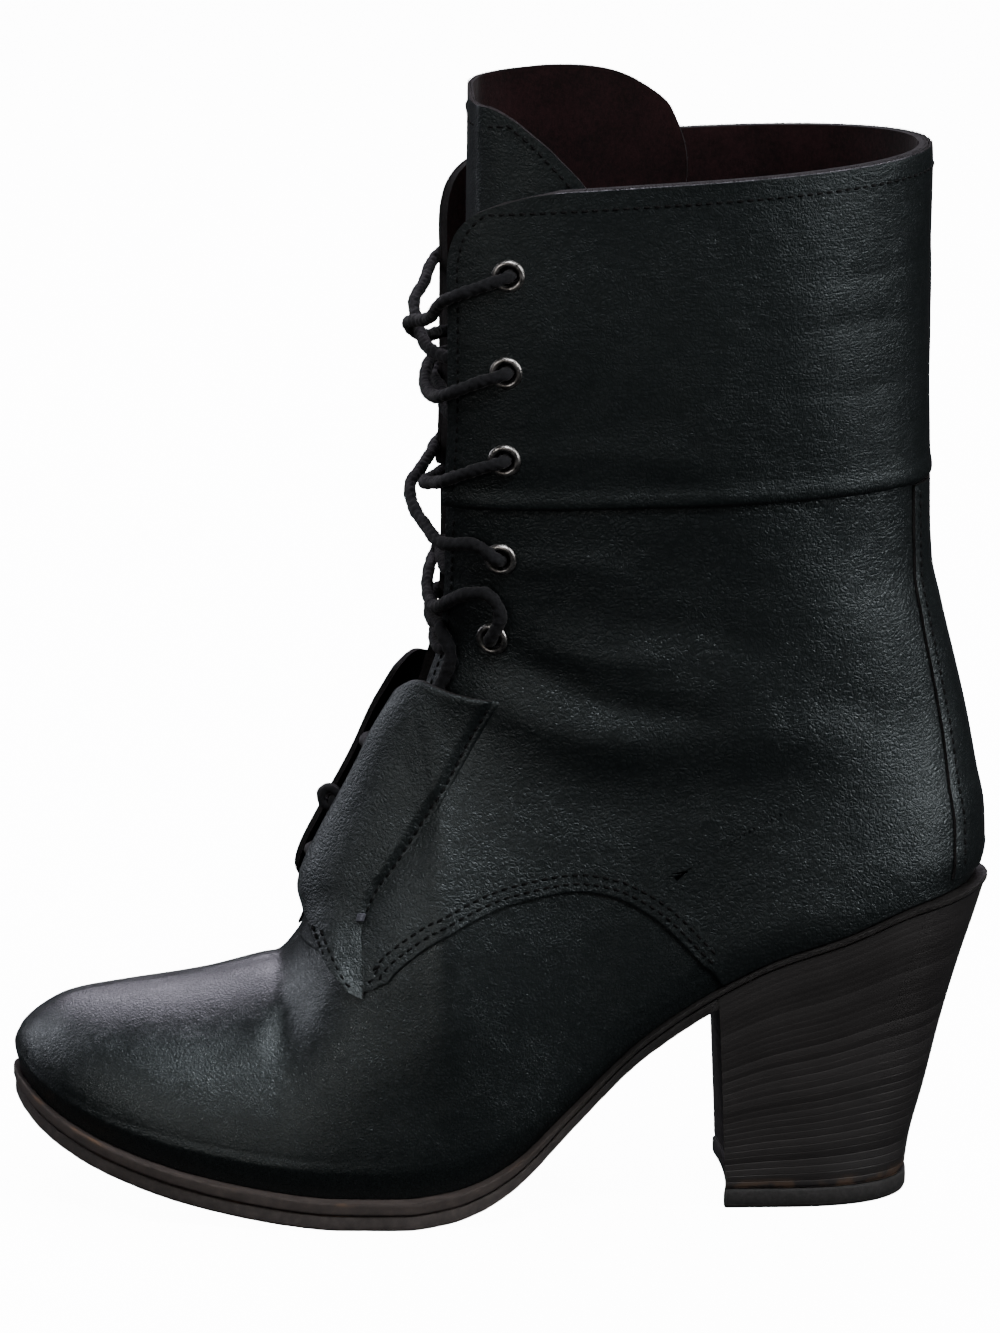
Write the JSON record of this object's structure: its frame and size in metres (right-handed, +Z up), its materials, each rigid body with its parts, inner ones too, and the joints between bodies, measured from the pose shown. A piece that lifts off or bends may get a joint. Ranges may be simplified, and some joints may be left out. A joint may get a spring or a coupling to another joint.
{
  "type": "lace-up heeled boot",
  "caption": "Ankle-high leather boot with a laced throat, wide tongue, shaft cuff, loose lower flaps and a tall tapered stacked heel.",
  "frame": {"origin": "middle of the underside of the boot's box, on the floor it stands on", "axes": "+Z up, -X towards the toe, +X towards the heel, -Y towards the outer side of the foot"},
  "size_m": [0.243, 0.0884, 0.2801],
  "materials": {
    "upper_leather": "soft black leather with fine grain",
    "sole_leather": "worn dark leather",
    "welt_leather": "worn dark leather edge",
    "lining_leather": "dark red-brown suede",
    "heel_stack": "polished stacked leather with layer lines",
    "lift_rubber": "matt",
    "eyelet_metal": "antique silver",
    "lace": "braided cord"
  },
  "bodies": {
    "root": {"outsole": "sole_leather", "midsole": "welt_leather", "insole": "lining_leather", "heel": "heel_stack", "top_lift": "lift_rubber", "upper": "upper_leather", "cuff": "upper_leather", "back_strip": "upper_leather", "flap_lateral": "upper_leather", "flap_medial": "upper_leather", "tongue": "upper_leather", "eyelet_1_lateral": "eyelet_metal", "eyelet_1_medial": "eyelet_metal", "eyelet_2_lateral": "eyelet_metal", "eyelet_2_medial": "eyelet_metal", "eyelet_3_lateral": "eyelet_metal", "eyelet_3_medial": "eyelet_metal", "eyelet_4_lateral": "eyelet_metal", "eyelet_4_medial": "eyelet_metal", "eyelet_5_lateral": "eyelet_metal", "eyelet_5_medial": "eyelet_metal", "lace_crossing_1": "lace", "lace_crossing_2": "lace", "lace_crossing_3": "lace", "lace_crossing_4": "lace", "lace_crossing_5": "lace", "lace_bar_1": "lace", "lace_bar_2": "lace", "lace_tie": "lace"}
  },
  "joints": []
}
